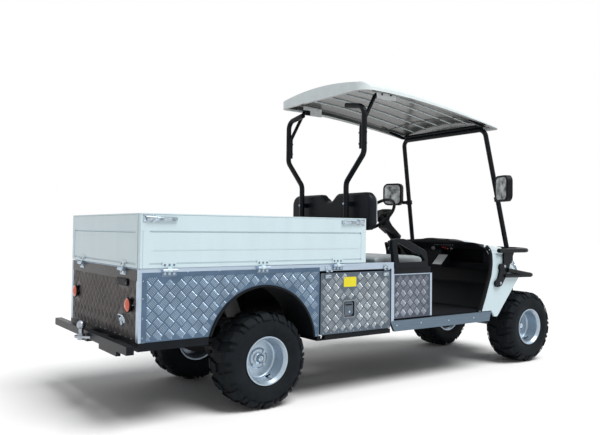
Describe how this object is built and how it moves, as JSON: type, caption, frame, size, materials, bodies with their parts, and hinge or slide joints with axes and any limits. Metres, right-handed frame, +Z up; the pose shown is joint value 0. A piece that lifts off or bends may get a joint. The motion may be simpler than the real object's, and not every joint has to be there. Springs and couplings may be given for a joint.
{
  "type": "utility golf cart with drop-side bed",
  "caption": "Two-seat electric utility golf cart with an aluminium drop-side cargo bed, chequer plate skirts, hinged storage doors and a moulded roof on tube posts.",
  "frame": {"origin": "centre of the bounding box at ground level, under the cart", "axes": "+X forward, +Y to the cart's left, +Z up"},
  "size_m": [3.795, 1.411, 2.0754],
  "materials": {
    "black_steel": "satin",
    "zinc_steel": "satin",
    "cast_metal": "matt",
    "spring_steel": "matt",
    "battery_plastic": "matt",
    "aluminium": "satin",
    "chequer": "five-bar tread plate",
    "board_white": "satin",
    "chrome": "polished",
    "black_plastic": "textured",
    "lamp_red": "gloss",
    "lamp_clear": "gloss",
    "grey_vinyl": "satin vinyl",
    "black_rubber": "ribbed mat",
    "dash_plastic": "grained",
    "cowl_white": "gloss",
    "roof_white": "satin",
    "tyre_rubber": "matt",
    "rim_paint": "silver satin"
  },
  "bodies": {
    "cart": {"chassis_frame": "black_steel", "rear_subframe": "black_steel", "outriggers": "black_steel", "tow_ball": "zinc_steel", "rear_axle": "cast_metal", "front_axle": "black_steel", "leaf_springs": "spring_steel", "battery_pack": "battery_plastic", "bed_frame": "aluminium", "bed_floor": "chequer", "headboard": "board_white", "side_skirts": "chequer", "rear_panel": "chequer", "arch_lips": "black_plastic", "wheel_liners": "black_plastic", "storage_boxes": "black_plastic", "tail_lamps": "lamp_red", "seat_base": "chequer", "seat_deck": "black_plastic", "seat_back": "grey_vinyl", "seat_back_shell": "black_plastic", "armrests": "black_steel", "floor_pan": "black_rubber", "sills": "aluminium", "firewall": "black_plastic", "pedals": "black_steel", "steering_column": "black_plastic", "dash": "dash_plastic", "cowl": "cowl_white", "head_lamps": "lamp_clear", "windshield_frame": "black_steel", "front_guard": "black_steel", "mirrors": "black_plastic", "roof_posts": "black_steel", "roof_brackets": "aluminium", "roof": "roof_white"},
    "side_board_right": {"side_board_right": "board_white", "latches_right": "chrome"},
    "side_board_left": {"side_board_left": "board_white", "latches_left": "chrome"},
    "tailboard": {"tailboard": "board_white"},
    "storage_door_right": {"storage_door_right": "chequer"},
    "storage_door_left": {"storage_door_left": "chequer"},
    "seat_cushion": {"seat_cushion": "grey_vinyl"},
    "steering_wheel": {"steering_wheel": "black_plastic"},
    "knuckle_right": {"knuckle_right": "cast_metal"},
    "knuckle_left": {"knuckle_left": "cast_metal"},
    "tie_rod": {"tie_rod": "zinc_steel"},
    "wheel_rear_left": {"tyre_rear_left": "tyre_rubber", "rim_rear_left": "rim_paint"},
    "wheel_rear_right": {"tyre_rear_right": "tyre_rubber", "rim_rear_right": "rim_paint"},
    "wheel_front_left": {"tyre_front_left": "tyre_rubber", "rim_front_left": "rim_paint"},
    "wheel_front_right": {"tyre_front_right": "tyre_rubber", "rim_front_right": "rim_paint"}
  },
  "joints": [
    {"name": "side_board_left_hinge", "type": "hinge", "parent": "cart", "child": "side_board_left", "pos_m": [-0.9645, 0.59, 0.822], "axis": [-1, 0, 0], "range_deg": [0, 180]},
    {"name": "side_board_right_hinge", "type": "hinge", "parent": "cart", "child": "side_board_right", "pos_m": [-0.9645, -0.59, 0.822], "axis": [1, 0, 0], "range_deg": [0, 180]},
    {"name": "tailboard_hinge", "type": "hinge", "parent": "cart", "child": "tailboard", "pos_m": [-1.7685, 0, 0.822], "axis": [0, -1, 0], "range_deg": [0, 165]},
    {"name": "storage_door_left_hinge", "type": "hinge", "parent": "cart", "child": "storage_door_left", "pos_m": [-0.9645, 0.585, 0.788], "axis": [-1, 0, 0], "range_deg": [-100, 0]},
    {"name": "storage_door_right_hinge", "type": "hinge", "parent": "cart", "child": "storage_door_right", "pos_m": [-0.9645, -0.585, 0.788], "axis": [1, 0, 0], "range_deg": [-100, 0]},
    {"name": "seat_hinge", "type": "hinge", "parent": "cart", "child": "seat_cushion", "pos_m": [-0.0745, 0, 0.815], "axis": [0, -1, 0], "range_deg": [0, 55]},
    {"name": "steering_left", "type": "hinge", "parent": "cart", "child": "knuckle_left", "pos_m": [1.5475, 0.285, 0.28], "axis": [0, 0, 1], "range_deg": [-28, 28]},
    {"name": "steering_right", "type": "hinge", "parent": "cart", "child": "knuckle_right", "pos_m": [1.5475, -0.285, 0.28], "axis": [0, 0, 1], "range_deg": [-28, 28]},
    {"name": "tie_rod_slide", "type": "slide", "parent": "cart", "child": "tie_rod", "axis": [0, -1, 0], "range_m": [-0.0526, 0.0526]},
    {"name": "steering_wheel_turn", "type": "hinge", "parent": "cart", "child": "steering_wheel", "pos_m": [0.6055, 0.25, 1.178], "axis": [-0.7385, 0, 0.6743], "range_deg": [-396, 396]},
    {"name": "wheel_rear_left_spin", "type": "hinge", "parent": "cart", "child": "wheel_rear_left", "pos_m": [-0.9645, 0.449, 0.28], "axis": [0, 1, 0], "continuous": true},
    {"name": "wheel_rear_right_spin", "type": "hinge", "parent": "cart", "child": "wheel_rear_right", "pos_m": [-0.9645, -0.449, 0.28], "axis": [0, 1, 0], "continuous": true},
    {"name": "wheel_front_left_spin", "type": "hinge", "parent": "knuckle_left", "child": "wheel_front_left", "pos_m": [1.5475, 0.433, 0.28], "axis": [0, 1, 0], "continuous": true},
    {"name": "wheel_front_right_spin", "type": "hinge", "parent": "knuckle_right", "child": "wheel_front_right", "pos_m": [1.5475, -0.433, 0.28], "axis": [0, 1, 0], "continuous": true}
  ],
  "couplings": [
    {"joint": "steering_right", "follows": "steering_left", "ratio": 1},
    {"joint": "tie_rod_slide", "follows": "steering_left", "m_per_rad": 0.1075},
    {"joint": "steering_wheel_turn", "follows": "steering_left", "ratio": 14}
  ]
}
